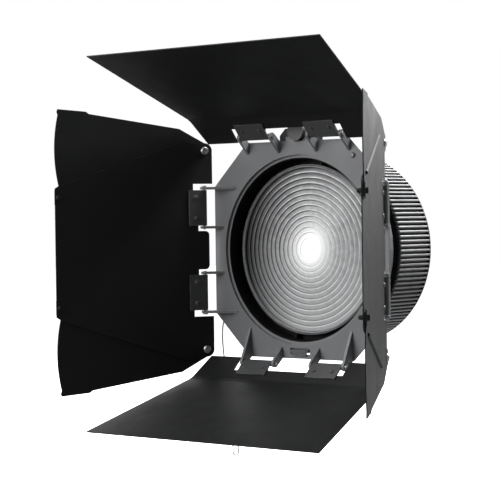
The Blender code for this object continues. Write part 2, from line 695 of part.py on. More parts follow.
def build_latch(head):
    knob = rod_mesh((0, -KNOB_FORE, KNOB_OUT), (0, FRAME_THICK - FIT, KNOB_OUT), KNOB_R, 36)
    latch = add_part("latch_knob", knob, material("knob", (0.04, 0.04, 0.042), 0.5), head)
    neck = rod_mesh((0, FRAME_THICK - 1 * MM, KNOB_OUT), (0, LATCH_ROD_Y + 1 * MM, KNOB_OUT),
                    LATCH_ROD_R + 1 * MM, 16)
    rod = rod_mesh((0, LATCH_ROD_Y, LATCH_FLOOR + LATCH_SPRING + 2 * FIT),
                   (0, LATCH_ROD_Y, KNOB_OUT + 4 * MM), LATCH_ROD_R, 16)
    combine(latch, add_tool("latch_neck", neck, head), "UNION")
    combine(latch, add_tool("latch_rod", rod, head), "UNION")
    coil_r, wire_r, turns = 1.9 * MM, 0.4 * MM, 5
    start = LATCH_FLOOR + FIT + wire_r
    rise = LATCH_SPRING - 2 * wire_r
    points = []
    for index in range(turns * 7 + 1):
        share = index / (turns * 7)
        angle = 2 * math.pi * turns * share
        points.append((coil_r * math.cos(angle), LATCH_ROD_Y + coil_r * math.sin(angle),
                       start + rise * share))
    add_part("latch_spring", wire_mesh(points, wire_r, resolution=0), bright_steel(), head)


def build_frame_screw(head):
    shank = rod_mesh(screw_place(-0.8 * MM), screw_place(FRAME_THICK - FIT), SCREW_R, 12)
    part = add_part("frame_screw", shank, bright_steel(), head)
    cap = rod_mesh(screw_place(-2.0 * MM), screw_place(-FIT), 2.2 * MM, 16, 3.0 * MM)
    combine(part, add_tool("frame_screw_cap", cap, head), "UNION")


# ---------------------------------------------------------------- hinges
def build_hinges(head, leaf_axes):
    for side in SIDES:
        along, _, centre = side_frame(side)
        for number, sign in ((1, -1), (2, 1)):
            way = along * sign
            start = centre + way * (EAR_INNER - EAR_THICK / 2 - 0.8 * MM)
            end = centre + way * (EAR_OUTER + EAR_THICK / 2 + 0.3 * MM)
            pin = add_part(f"hinge_pin_{side}_{number}", rod_mesh(start, end, PIN_R, 12),
                           bright_steel(), head)
            cap = rod_mesh(end - way * 0.01 * MM, end + way * PIN_HEAD, PIN_HEAD_R, 12)
            combine(pin, add_tool(f"pin_head_{side}_{number}", cap, head), "UNION")
            build_knuckle(f"hinge_plate_{side}_{number}", sign, leaf_axes[side])


def rivet_places(sign):
    return [(sign * (RIVET_INSET + KNUCKLE_START), RIVET_UP), (sign * (KNUCKLE_END - RIVET_INSET), RIVET_UP)]


def build_knuckle(name, sign, axis):
    flat_outer = FLAT_INNER + KNUCKLE_WALL
    meet = math.asin(flat_outer / KNUCKLE_R)
    loop = [(KNUCKLE_REACH, FLAT_INNER)] + arc((0, 0), KNUCKLE_R, -math.pi / 2, meet - 2 * math.pi, 12)
    loop.append((KNUCKLE_REACH, flat_outer))
    mesh = outline_mesh([loop, circle((0, 0), PIN_R + FIT, 12)], KNUCKLE_START, KNUCKLE_END)
    stand = Matrix(((0, 0, 1), (1, 0, 0), (0, 1, 0))).to_4x4()
    plate = add_part(name, moved(mesh, stand), dark_steel(), axis)
    if sign < 0:
        plate.data.transform(Matrix.Translation((-(KNUCKLE_START + KNUCKLE_END), 0, 0)))
    rivets = []
    for x, y in rivet_places(sign):
        rivets.append(rod_mesh((x, y, FLAT_INNER - 1.3 * MM), (x, y, FLAT_INNER + 0.1 * MM),
                               RIVET_HEAD_R * 0.7, 8, RIVET_HEAD_R))
        rivets.append(rod_mesh((x, y, FLAT_INNER), (x, y, SHEET_OUTER + 1 * MM), RIVET_R, 8))
    tails = [rod_mesh((x, y, SHEET_OUTER + FIT), (x, y, SHEET_OUTER + 1.2 * MM), RIVET_HEAD_R, 8,
                      RIVET_HEAD_R * 0.8) for x, y in rivet_places(sign)]
    combine(plate, add_tool(f"{name}_heads", joined(rivets[0::2]), axis), "UNION")
    combine(plate, add_tool(f"{name}_shanks", joined(rivets[1::2]), axis), "UNION")
    combine(plate, add_tool(f"{name}_tails", joined(tails), axis), "UNION")


# ---------------------------------------------------------------- leaves
def mirrored_loop(half):
    """A loop from its half at x >= 0, listed from the hinge edge's middle to the free edge's."""
    return half + [(-x, y) for x, y in reversed(half)]


def ear_notches(centre_edge, tail_x, tail_edge):
    """The hinge edge at x >= 0: centre, inner ear slot, window for the knuckle, outer ear slot, tail."""
    inner_low, inner_high = EAR_INNER - EAR_SLOT_IN, EAR_INNER + EAR_SLOT_IN - 0.6 * MM
    outer_low, outer_high = EAR_OUTER - EAR_SLOT_IN + 1.2 * MM, EAR_OUTER + EAR_SLOT_OUT
    inner_depth, outer_depth = 8.0 * MM, 14.2 * MM
    points = []
    if centre_edge < 0:
        r = 5 * MM
        points += arc((inner_low - r, centre_edge + r), r, -math.pi / 2, 0, 5) + [(inner_low, inner_depth)]
    else:
        points += [(2 * MM, centre_edge), (inner_high - 2 * MM, centre_edge)]
    points += [(inner_high, inner_depth), (inner_high, WINDOW), (outer_low, WINDOW),
               (outer_low, outer_depth), (outer_high, outer_depth), (outer_high, tail_edge),
               (tail_x, tail_edge)]
    return points


def leaf_holes():
    holes = []
    for sign in (-1, 1):
        for place in rivet_places(sign):
            holes.append(circle(place, RIVET_R + FIT, 12))
    return holes


def build_side_leaf(side, axis):
    pivot = (WING_PIVOT_OUT, -WING_PIVOT_BACK)
    half = ear_notches(-MID_TAIL, WING_PIVOT_OUT - 6 * MM, -TAIL)
    half += arc(pivot, WING_HUB_R - 0.2 * MM, -math.pi / 2 - 0.2, 0, 7)
    half += [(WING_PIVOT_OUT + 10.5 * MM, 28 * MM), (SIDE_FREE_HALF + 3.2 * MM, LEAF_REACH - 5 * MM),
             (SIDE_FREE_HALF, LEAF_REACH)]
    holes = leaf_holes()
    for sign in (-1, 1):
        holes.append(circle((sign * WING_PIVOT_OUT, -WING_PIVOT_BACK), PIVOT_R + FIT, 16))
        holes.append(circle(clip_rivet(sign), RIVET_R + FIT, 12))
    add_part(f"leaf_{side}", outline_mesh([mirrored_loop(half)] + holes, SHEET_INNER, SHEET_OUTER),
             black_sheet(), axis)
    for sign in (-1, 1):
        upper = sign < 0 if side == "left" else sign > 0
        label = f"{side}_{'upper' if upper else 'lower'}"
        build_wing(label, sign, axis)
        build_clip(label, sign, axis)


def clip_rivet(sign):
    return (sign * CLIP_OUT, CLIP_UP)


def wing_loop(sign):
    """Wing outline about its pivot: hub, stepped outer edge, tab, arc and straight inner edge."""
    def polar(radius, angle):
        return (radius * math.sin(angle), radius * math.cos(angle))
    outer = math.radians(15.2)
    points = [(WING_HUB_R * math.cos(a), WING_HUB_R * math.sin(a))
              for a in [math.radians(d) for d in (-180, -150, -120, -90, -60, -30, 0)]]
    points += [(25.6 * MM, 31 * MM), (41.9 * MM, WING_R - 41.6 * MM), (44.5 * MM, WING_R - 37.9 * MM)]
    points += [polar(WING_R - 5 * MM, outer), polar(WING_R + 1.6 * MM, outer - math.radians(0.4)),
               polar(WING_R + 1.9 * MM, outer - math.radians(1.4)), polar(WING_R, outer - math.radians(2.4))]
    steps = 14
    start = outer - math.radians(3)
    points += [polar(WING_R, start + (WING_INNER_EDGE - start) * i / steps) for i in range(steps + 1)]
    return [(sign * x, y) for x, y in points]


def bead_mesh(sign):
    """Half-round bead along the wing's outer face, in line with the leaf's slanted edge."""
    start, end = (Vector((sign * x, y, WING_OUTER)) for x, y in (BEAD_START, BEAD_END))
    along = (end - start).normalized()
    out = Vector((0, 0, 1))
    sunk = -0.1 * MM
    loop = [(-BEAD_R, sunk)] + arc((0, 0), BEAD_R, math.pi, 0, 9) + [(BEAD_R, sunk)]
    mesh = outline_mesh([loop], 0, (end - start).length)
    turn = Matrix((out.cross(along), out, along)).transposed().to_4x4()
    return moved(mesh, Matrix.Translation(start) @ turn)


def build_wing(label, sign, axis):
    pivot = bpy.data.objects.new(f"wing_axis_{label}", None)
    PARTS.objects.link(pivot)
    pivot.parent = axis
    pivot.location = (sign * WING_PIVOT_OUT, -WING_PIVOT_BACK, 0)
    hole = circle((0, 0), PIVOT_R + FIT, 16)
    wing = add_part(f"wing_{label}", outline_mesh([wing_loop(sign), hole], WING_INNER, WING_OUTER),
                    black_sheet(), pivot)
    combine(wing, add_tool(f"wing_bead_{label}", bead_mesh(sign), pivot), "UNION")
    shank = rod_mesh((0, 0, SHEET_INNER - 1 * MM), (0, 0, WING_OUTER + 1 * MM), PIVOT_R, 16)
    rivet = add_part(f"wing_pivot_{label}", shank, dark_steel(), pivot)
    heads = [rod_mesh((0, 0, SHEET_INNER - 2 * MM), (0, 0, SHEET_INNER - FIT), PIVOT_HEAD_R * 0.75, 20,
                      PIVOT_HEAD_R),
             rod_mesh((0, 0, WING_OUTER + FIT), (0, 0, WING_OUTER + 2 * MM), PIVOT_HEAD_R, 20,
                      PIVOT_HEAD_R * 0.75)]
    combine(rivet, add_tool(f"pivot_heads_{label}", joined(heads), pivot), "UNION")


def build_clip(label, sign, axis):
    """Guide clip: a foot on the sheet beside the wing's arc, a lip over the wing, a rivet through."""
    x, y = clip_rivet(sign)
    foot_edge = y - CLIP_FOOT
    lip_bottom = WING_OUTER + FIT
    foot = box_mesh((x - CLIP_FOOT_HALF, foot_edge, SHEET_OUTER + FIT),
                    (x + CLIP_FOOT_HALF, y + 3 * MM, lip_bottom + 0.5 * MM))
    lip = box_mesh((x - CLIP_HALF, foot_edge - CLIP_LIP, lip_bottom),
                   (x + CLIP_HALF, y + 3 * MM, lip_bottom + SHEET))
    block = box_mesh((x - CLIP_BLOCK_HALF, y - 4 * MM, lip_bottom + SHEET / 2),
                     (x + CLIP_BLOCK_HALF, y + 2 * MM, lip_bottom + CLIP_BLOCK))
    clip = add_part(f"guide_clip_{label}", foot, dark_steel(), axis)
    shank = rod_mesh((x, y, SHEET_INNER - 1 * MM), (x, y, SHEET_OUTER + 1 * MM), RIVET_R, 12)
    cap = rod_mesh((x, y, SHEET_INNER - CLIP_BOSS), (x, y, SHEET_INNER - FIT), RIVET_HEAD_R * 0.75, 14,
                   RIVET_HEAD_R)
    combine(clip, add_tool(f"clip_lip_{label}", lip, axis), "UNION")
    combine(clip, add_tool(f"clip_block_{label}", block, axis), "UNION")
    combine(clip, add_tool(f"clip_shank_{label}", shank, axis), "UNION")
    combine(clip, add_tool(f"clip_cap_{label}", cap, axis), "UNION")


def bend(mesh, fold_at, angle):
    """Folds a flat sheet across y = fold_at towards -z; the fold takes two equal steps."""
    reach = 2.5 * MM
    lines = [fold_at - reach, fold_at + reach]
    work = bmesh.new()
    work.from_mesh(mesh)
    for line in lines:
        bmesh.ops.bisect_plane(work, geom=work.verts[:] + work.edges[:] + work.faces[:], dist=1e-7,
                               plane_co=(0, line, 0), plane_no=(0, 1, 0))
    middle = (SHEET_INNER + SHEET_OUTER) / 2
    for vert in work.verts:
        for line, share in ((lines[1], 0.5), (lines[0], 0.5)):
            if vert.co.y >= line - 1e-6:
                swing = angle * share if vert.co.y > line + 1e-6 else angle * share / 2
                centre = Vector((0, line, middle))
                turned_co = Matrix.Rotation(-swing, 3, "X") @ (vert.co - centre)
                vert.co = centre + turned_co
    bmesh.ops.triangulate(work, faces=work.faces[:])
    work.to_mesh(mesh)
    work.free()
    return mesh


def build_end_leaf(side, axis):
    half = ear_notches(12.5 * MM, END_HINGE_HALF, -MID_TAIL)
    half += [(END_FOLD_HALF, STRIP), (END_FREE_HALF, STRIP + PANEL)]
    sheet = outline_mesh([mirrored_loop(half)] + leaf_holes(), SHEET_INNER, SHEET_OUTER)
    add_part(f"leaf_{side}", bend(sheet, STRIP, FOLD), black_sheet(), axis)


def leaf_axis(side, head):
    """Empty on the hinge axis: x along the hinge, y up the leaf, z outwards, at the rest flare."""
    along, out, centre = side_frame(side)
    flare = FLARES[side]
    back = Vector((0, 1, 0))
    reach = out * math.cos(flare) - back * math.sin(flare)
    away = out * math.sin(flare) + back * math.cos(flare)
    axis = bpy.data.objects.new(f"leaf_axis_{side}", None)
    PARTS.objects.link(axis)
    axis.parent = head
    axis.matrix_local = Matrix.Translation(centre) @ Matrix((along, reach, away)).transposed().to_4x4()
    return axis


# ---------------------------------------------------------------- safety cable
def smooth_route(points, count):
    """Catmull-Rom curve through the route, read at even steps."""
    route = [Vector(p) * MM for p in points]
    route = [2 * route[0] - route[1]] + route + [2 * route[-1] - route[-2]]
    result = []
    spans = len(route) - 3
    for index in range(count):
        place = spans * index / (count - 1)
        span = min(int(place), spans - 1)
        t = place - span
        a, b, c, d = route[span:span + 4]
        result.append(0.5 * (2 * b + (c - a) * t + (2 * a - 5 * b + 4 * c - d) * t * t
                             + (3 * b - a - 3 * c + d) * t ** 3))
    return result


def build_cable(head):
    points = smooth_route(CABLE_ROUTE, 36)
    add_part("safety_cable", wire_mesh(points, CABLE_R), bright_steel(), head)
    build_anchor(head, points[0])
    build_hook(head, points[-1], points[-1] - points[-2])


def build_anchor(head, exit_point):
    """Post in the frame's back with a crimp socket that the cable leaves."""
    start = anchor_place(FRAME_THICK - ANCHOR_DEPTH + FIT)
    end = anchor_place(exit_point.y + 2.2 * MM)
    anchor = add_part("cable_anchor", rod_mesh(start, end, SCREW_R, 12), bright_steel(), head)
    collar = rod_mesh(anchor_place(FRAME_THICK + FIT), end, 3.2 * MM, 16)
    middle = Vector(anchor_place(exit_point.y))
    way = (exit_point - middle).normalized()
    socket = rod_mesh(middle, exit_point - way * FIT, 1.7 * MM, 12)
    combine(anchor, add_tool("anchor_collar", collar, head), "UNION")
    combine(anchor, add_tool("anchor_socket", socket, head), "UNION")


def build_hook(head, end, way):
    """Crimp sleeve on the cable's end and a hook bent from one spring wire."""
    way = way.normalized()
    sleeve_start = end + way * FIT
    sleeve_end = sleeve_start + way * 9 * MM
    add_part("cable_sleeve", rod_mesh(sleeve_start, sleeve_end, 1.9 * MM, 16), bright_steel(), head)
    eye = sleeve_end + way * FIT
    wire_r, half = 0.9 * MM, 3.1 * MM
    bottom = eye + way * 21 * MM
    across = Vector((0.78, 0.62, 0)).normalized()
    side_top = eye + across * half + way * 7 * MM
    points = [eye, eye + way * 1.5 * MM, eye + across * half * 0.55 + way * 4 * MM, side_top]
    for angle in range(0, 181, 20):
        a = math.radians(angle)
        points.append(bottom + across * half * math.cos(a) + way * half * math.sin(a))
    points.append(bottom - across * half - way * 9 * MM)
    points.append(bottom - across * (half - 1.4 * MM) - way * 12.5 * MM)
    add_part("snap_hook", wire_mesh(points, wire_r), bright_steel(), head)


# ---------------------------------------------------------------- whole object
def main():
    global PARTS, TOOLS
    clear_scene()
    PARTS = make_collection("fresnel_spotlight_head")
    TOOLS = make_collection("cutters")
    head = bpy.data.objects.new("head", None)
    PARTS.objects.link(head)
    head.location = (0, -DEPTH, 0)
    build_lens(head)
    build_cell(head)
    build_followers(head)
    build_retainer(head)
    build_barrel(head)
    build_focus_ring(head)
    build_grip(head)
    build_rear(head)
    build_frame(head)
    build_claw(head)
    build_latch(head)
    build_frame_screw(head)
    axes = {side: leaf_axis(side, head) for side in SIDES}
    build_hinges(head, axes)
    for side in ("top", "bottom"):
        build_end_leaf(side, axes[side])
    for side in ("left", "right"):
        build_side_leaf(side, axes[side])
    build_cable(head)


main()
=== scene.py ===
"""Looks for the fresnel lens head with its barn doors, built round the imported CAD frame.

Units are metres.  The light leaves along -Y and +Z is up.  The CAD's pieces stay where they are: they
get bevels and materials here, and the lens, its retaining ring, the grip and the cable are replaced by
finer ones of the same size.  Colours are linear RGB.
"""

import json
import math

import bmesh
import bpy
from mathutils import Matrix, Vector


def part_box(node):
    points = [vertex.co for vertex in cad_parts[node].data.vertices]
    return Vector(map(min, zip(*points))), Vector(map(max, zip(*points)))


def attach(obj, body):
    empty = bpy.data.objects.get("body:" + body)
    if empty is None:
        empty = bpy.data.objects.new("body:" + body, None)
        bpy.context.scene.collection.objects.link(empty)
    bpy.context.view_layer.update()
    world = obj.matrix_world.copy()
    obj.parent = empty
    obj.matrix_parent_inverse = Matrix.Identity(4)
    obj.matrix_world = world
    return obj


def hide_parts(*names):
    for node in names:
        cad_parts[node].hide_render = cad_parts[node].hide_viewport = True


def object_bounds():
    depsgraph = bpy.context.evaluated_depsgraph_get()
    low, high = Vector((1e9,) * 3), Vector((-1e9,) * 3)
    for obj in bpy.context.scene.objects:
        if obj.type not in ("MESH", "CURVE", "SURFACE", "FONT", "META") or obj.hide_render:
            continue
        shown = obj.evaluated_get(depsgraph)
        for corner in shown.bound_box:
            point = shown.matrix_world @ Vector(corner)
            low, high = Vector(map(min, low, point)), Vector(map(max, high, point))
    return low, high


MM = 0.001
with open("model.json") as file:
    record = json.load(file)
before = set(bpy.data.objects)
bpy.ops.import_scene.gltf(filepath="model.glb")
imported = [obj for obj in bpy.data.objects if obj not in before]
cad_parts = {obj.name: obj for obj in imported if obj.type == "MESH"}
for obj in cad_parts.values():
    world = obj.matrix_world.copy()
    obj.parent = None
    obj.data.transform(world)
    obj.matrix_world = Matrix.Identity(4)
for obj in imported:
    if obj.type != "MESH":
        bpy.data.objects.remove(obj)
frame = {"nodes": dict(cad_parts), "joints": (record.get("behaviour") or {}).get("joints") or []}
NODES = frame["nodes"]
JOINTS = {joint["name"]: joint for joint in frame["joints"]}
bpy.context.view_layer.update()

# Places read from the frame
HINGE_FORE = 13.5 * MM          # hinge axis, in front of the barn-door frame's face
FACE_Y = JOINTS["leaf_top_fold"]["pos_m"][1] + HINGE_FORE
LENS_LOW, LENS_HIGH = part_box("fresnel_lens")
RETAINER_LOW, RETAINER_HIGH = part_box("lens_retaining_ring")
GRIP_LOW, GRIP_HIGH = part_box("focus_grip")
RING_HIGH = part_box("focus_ring")[1]

# Camera, looking at the middle of the frame's face and shifted across its view
AZIMUTH = math.radians(39.3)
ELEVATION = math.radians(1.03)
ROLL = math.radians(-0.78)
DISTANCE = 2.038
ASIDE = -0.0552
ABOVE = -0.0001
FOCAL_LENGTH = 129.6            # in Blender's millimetres, for the sensor below
SENSOR_WIDTH = 36
NEAR_CLIP = 0.05
FAR_CLIP = 50

# Studio: name, azimuth and elevation in degrees, distance, size, watts
LIGHTS = (("key", -36, 28, 1.9, (1.9, 1.9), 62),
          ("rim_right", 150, 58, 1.6, (0.7, 0.7), 78),
          ("backdrop", 190, 22, 2.2, (1.8, 1.1), 46),
          ("rim_left", -125, 25, 1.8, (0.7, 1.2), 10),
          ("overhead", 10, 80, 1.6, (1.1, 1.1), 8))
FILL_COLOUR = (0.93, 0.96, 1.0)
FILL_STRENGTH = 0.19
FLOOR_BELOW = 60 * MM
FLOOR_HALF = 8.0

# Lens, with its steps in front
LENS_R = LENS_HIGH.x
CLEAR_R = 94.0 * MM             # retaining ring's bore
CENTRE_R = 13.5 * MM            # smooth middle
RING_COUNT = 13
RING_PITCH = (CLEAR_R - CENTRE_R) / RING_COUNT
TOOTH = 2.2 * MM
INNER_TOOTH = 0.55              # share of a tooth's depth at the middle
LENS_CHAMFER = 0.4 * MM
CREST_START = 0.22 * MM         # a step's crest, out from where the step starts
CREST_END = 0.6 * MM
STEP_MARGIN = 0.75 * MM         # part of the pitch that a step's slope leaves out
STEP_CUTS = 5                   # straight runs along a step's slope
CENTRE_CUTS = 6                 # straight runs from the axis to the first step

# Barrel, whose finish changes with the radius
GROOVE_R = 104.0 * MM           # painted shade inside this: near black
FLANGE_R = 117.0 * MM           # the latch block stands outside this

# Grip; its first four sizes are the CAD's
RIB_COUNT = 128
RIB_HEIGHT = 2.8 * MM
GRIP_BASE = 3.4 * MM
GRIP_GAP = 0.3 * MM             # to the focus ring
GRIP_FADE = 1.2 * MM            # length over which the ribs rise
GRIP_RIM = 2.0 * MM             # plain rim behind the ribs

# Safety cable, the same route as the CAD's, in the head's axes
CABLE_R = 0.8 * MM
CABLE_ROUTE = ((-113, 10.6, -77.5), (-117.5, 10.6, -80.5), (-121.5, 10.7, -85), (-124, 11.2, -96),
               (-124.8, 12.5, -114), (-123.5, 15, -138), (-120.5, 18.2, -162), (-117.8, 20.4, -184),
               (-116.6, 21.4, -200), (-116.3, 21.7, -210))
CABLE_POINTS = 36

TURN_STEPS = 180                # sides of a turned piece
WEAR_RADIUS = 0.5 * MM          # how far wear reaches in from an edge
BEVEL_SAMPLES = 4
WHITE = (1, 1, 1, 1)
WORN_GREY = (0.3, 0.3, 0.31)


# ---------------------------------------------------------------- camera and stage
def direction(azimuth, elevation):
    """Unit vector from the object towards a camera or light; azimuth 0 is in front of the lens."""
    return Vector((math.sin(azimuth) * math.cos(elevation), -math.cos(azimuth) * math.cos(elevation),
                   math.sin(elevation)))


def build_camera():
    away = direction(AZIMUTH, ELEVATION)
    level = Vector((math.cos(AZIMUTH), math.sin(AZIMUTH), 0))
    upright = away.cross(level)
    across = level * math.cos(ROLL) + upright * math.sin(ROLL)
    up = upright * math.cos(ROLL) - level * math.sin(ROLL)
    place = Vector((0, FACE_Y, 0)) + away * DISTANCE + across * ASIDE + up * ABOVE
    data = bpy.data.cameras.new("camera")
    data.sensor_width = SENSOR_WIDTH
    data.lens = FOCAL_LENGTH
    data.clip_start = NEAR_CLIP
    data.clip_end = FAR_CLIP
    camera = bpy.data.objects.new("camera", data)
    camera.matrix_world = Matrix.Translation(place) @ Matrix((across, up, away)).transposed().to_4x4()
    bpy.context.scene.collection.objects.link(camera)
    bpy.context.scene.camera = camera


def area_light(name, azimuth, elevation, distance, size, power):
    away = direction(math.radians(azimuth), math.radians(elevation))
    data = bpy.data.lights.new(name, "AREA")
    data.shape = "RECTANGLE"
    data.size, data.size_y = size
    data.energy = power
    light = bpy.data.objects.new(name, data)
    light.location = Vector((0, FACE_Y, 0)) + away * distance
    light.rotation_mode = "QUATERNION"
    light.rotation_quaternion = away.to_track_quat("Z", "Y")
    light.visible_camera = False
    bpy.context.scene.collection.objects.link(light)


def build_world():
    """White where the camera sees it, and a dim cool fill for everything else."""
    world = bpy.data.worlds.new("studio")
    bpy.context.scene.world = world
    world.use_nodes = True
    tree = world.node_tree
    tree.nodes.clear()
    out = tree.nodes.new("ShaderNodeOutputWorld")
    shown = tree.nodes.new("ShaderNodeBackground")
    shown.inputs["Color"].default_value = WHITE
    shown.inputs["Strength"].default_value = 1.0
    fill = tree.nodes.new("ShaderNodeBackground")
    fill.inputs["Color"].default_value = (*FILL_COLOUR, 1)
    fill.inputs["Strength"].default_value = FILL_STRENGTH
    path = tree.nodes.new("ShaderNodeLightPath")
    mix = tree.nodes.new("ShaderNodeMixShader")
    tree.links.new(path.outputs["Is Camera Ray"], mix.inputs[0])
    tree.links.new(fill.outputs[0], mix.inputs[1])
    tree.links.new(shown.outputs[0], mix.inputs[2])
    tree.links.new(mix.outputs[0], out.inputs["Surface"])


def build_stage():
    scene = bpy.context.scene
    scene.view_settings.view_transform = "Standard"
    scene.view_settings.look = "None"
    build_world()
    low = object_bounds()[0]
    work = bmesh.new()
    bmesh.ops.create_grid(work, x_segments=1, y_segments=1, size=FLOOR_HALF,
                          matrix=Matrix.Translation((0, 0, low.z - FLOOR_BELOW)))
    floor = new_object("floor", mesh_of(work), None)
    floor.data.materials.append(floor_finish())
    for light in LIGHTS:
        area_light(*light)


# ---------------------------------------------------------------- mesh helpers
def mesh_of(work):
    mesh = bpy.data.meshes.new("mesh")
    work.to_mesh(mesh)
    work.free()
    return mesh


def new_object(name, data, body):
    item = bpy.data.objects.new(name, data)
    bpy.context.scene.collection.objects.link(item)
    if body is not None:
        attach(item, body)
    return item


def lathe(name, profile, body, finish, closed=True, angle=30):
    """Turns (radius, y) points about the Y axis, joined into a loop if closed; sharp at bends over angle."""
    work = bmesh.new()
    rings = []
    for radius, y in profile:
        if radius < 1e-9:
            rings.append([work.verts.new((0, y, 0))])
            continue
        rings.append([work.verts.new((radius * math.sin(2 * math.pi * i / TURN_STEPS), y,
                                      radius * math.cos(2 * math.pi * i / TURN_STEPS)))
                      for i in range(TURN_STEPS)])
    pairs = list(zip(rings, rings[1:] + rings[:1])) if closed else list(zip(rings, rings[1:]))
    for first, second in pairs:
        for i in range(TURN_STEPS):
            j = (i + 1) % TURN_STEPS
            corners = [first[i % len(first)], first[j % len(first)],
                       second[j % len(second)], second[i % len(second)]]
            face = list(dict.fromkeys(corners))
            if len(face) > 2:
                work.faces.new(face)
    bmesh.ops.recalc_face_normals(work, faces=work.faces[:])
    mesh = mesh_of(work)
    mesh.shade_smooth()
    mesh.set_sharp_from_angle(angle=math.radians(angle))
    item = new_object(name, mesh, body)
    item.data.materials.append(finish)
    return item


# ---------------------------------------------------------------- material helpers
class Finish:
    """A Principled material with a few node shortcuts; coordinates are the object's own, in metres."""

    def __init__(self, name, roughness=0.5, metallic=0.0, specular=0.5):
        self.material = bpy.data.materials.new(name)
        self.material.use_nodes = True
        self.tree = self.material.node_tree
        self.shader = self.tree.nodes["Principled BSDF"]
        self.shader.inputs["Roughness"].default_value = roughness
        self.shader.inputs["Metallic"].default_value = metallic
        self.shader.inputs["Specular IOR Level"].default_value = specular
        self.place = self.tree.nodes.new("ShaderNodeTexCoord").outputs["Object"]

    def node(self, kind, **settings):
        made = self.tree.nodes.new(kind)
        for key, value in settings.items():
            setattr(made, key, value)
        return made

    def link(self, source, target):
        self.tree.links.new(source, target)

    def noise(self, scale, detail):
        made = self.node("ShaderNodeTexNoise")
        made.inputs["Scale"].default_value = scale
        made.inputs["Detail"].default_value = detail
        made.inputs["Roughness"].default_value = 0.55
        self.link(self.place, made.inputs["Vector"])
        return made.outputs["Fac"]

    def spread(self, source, low, high, to_low=0.0, to_high=1.0):
        made = self.node("ShaderNodeMapRange", clamp=True)
        for key, value in (("From Min", low), ("From Max", high), ("To Min", to_low), ("To Max", to_high)):
            made.inputs[key].default_value = value
        self.link(source, made.inputs["Value"])
        return made.outputs["Result"]

    def maths(self, operation, first, second):
        made = self.node("ShaderNodeMath", operation=operation)
        for index, value in enumerate((first, second)):
            if isinstance(value, (int, float)):
                made.inputs[index].default_value = value
            else:
                self.link(value, made.inputs[index])
        return made.outputs[0]

    def mix(self, share, first, second):
        made = self.node("ShaderNodeMix", data_type="RGBA")
        self.link(share, made.inputs["Factor"])
        for key, value in (("A", first), ("B", second)):
            socket = [s for s in made.inputs if s.name == key and s.type == "RGBA"][0]
            if isinstance(value, tuple):
                socket.default_value = (*value, 1)
            else:
                self.link(value, socket)
        return [s for s in made.outputs if s.type == "RGBA"][0]

    def edges(self, radius):
        """1 on convex and concave edges nearer than radius, broken up by noise."""
        bevel = self.node("ShaderNodeBevel", samples=BEVEL_SAMPLES)
        bevel.inputs["Radius"].default_value = radius
        shape = self.node("ShaderNodeNewGeometry")
        dot = self.node("ShaderNodeVectorMath", operation="DOT_PRODUCT")
        self.link(bevel.outputs["Normal"], dot.inputs[0])
        self.link(shape.outputs["Normal"], dot.inputs[1])
        near = self.spread(dot.outputs["Value"], 0.985, 0.86)
        return self.maths("MULTIPLY", near, self.spread(self.noise(90, 4), 0.35, 0.62))

    def bump(self, height, strength, distance):
        made = self.node("ShaderNodeBump")
        made.inputs["Strength"].default_value = strength
        made.inputs["Distance"].default_value = distance
        self.link(height, made.inputs["Height"])
        self.link(made.outputs["Normal"], self.shader.inputs["Normal"])

    def colour(self, source):
        self.link(source, self.shader.inputs["Base Color"])

    def roughness(self, source):
        self.link(source, self.shader.inputs["Roughness"])


def painted(name, base, roughness, grain, grain_depth, specular, wear):
    """Sprayed paint: fine orange-peel grain, cloudy tone, dull rubbed patches and edges worn to wear."""
    f = Finish(name, roughness, 0.0, specular)
    cloud = f.spread(f.noise(9, 4), 0.3, 0.7)
    dark = tuple(c * 0.86 for c in base)
    light = tuple(c * 1.2 for c in base)
    toned = f.mix(cloud, dark, light)
    specks = f.spread(f.noise(700, 2), 0.66, 0.74)
    toned = f.mix(f.maths("MULTIPLY", specks, 0.35), toned, tuple(min(1.0, c * 2.2) for c in base))
    f.colour(f.mix(f.edges(WEAR_RADIUS), toned, wear))
    f.roughness(f.spread(f.noise(26, 5), 0.25, 0.75, roughness - 0.07, roughness + 0.08))
    f.bump(f.noise(grain, 2), 0.35, grain_depth)
    return f.material


def barrel_finish():
    """Grey casting outside, black as painted shade in the bore and the front groove, and black past the
    flange.
    """
    f = Finish("barrel_casting", 0.48, 0.0, 0.4)
    radius, _ = radius_of(f)
    outside = f.spread(radius, GROOVE_R + 0.4 * MM, GROOVE_R + 0.9 * MM)
    past_flange = f.spread(radius, FLANGE_R + 0.3 * MM, FLANGE_R + 0.8 * MM)
    cloud = f.spread(f.noise(9, 4), 0.3, 0.7)
    grey = f.mix(cloud, (0.12, 0.122, 0.126), (0.15, 0.152, 0.156))
    grey = f.mix(f.edges(WEAR_RADIUS), grey, WORN_GREY)
    grey = f.mix(past_flange, grey, (0.004, 0.004, 0.0045))
    # Painted shade: inside GROOVE_R the bore and the front groove are painted near black, with little shine.
    f.colour(f.mix(outside, (0.006, 0.006, 0.0065), grey))
    f.link(f.spread(outside, 0.0, 1.0, 0.08, 0.45), f.shader.inputs["Specular IOR Level"])
    f.bump(f.noise(900, 2), 0.35, 0.1 * MM)
    return f.material


def floor_finish():
    """Pale and lit where the camera sees it, and darker in what the object reflects."""
    f = Finish("floor_white", 0.8)
    path = f.node("ShaderNodeLightPath")
    seen = path.outputs["Is Camera Ray"]
    pale = f.mix(f.spread(f.noise(3, 2), 0.3, 0.7), (0.86, 0.86, 0.86), (0.9, 0.9, 0.9))
    f.colour(f.mix(seen, (0.18, 0.18, 0.18), pale))
    f.shader.inputs["Emission Color"].default_value = WHITE
    f.link(f.spread(seen, 0.0, 1.0, 0.03, 0.95), f.shader.inputs["Emission Strength"])
    return f.material


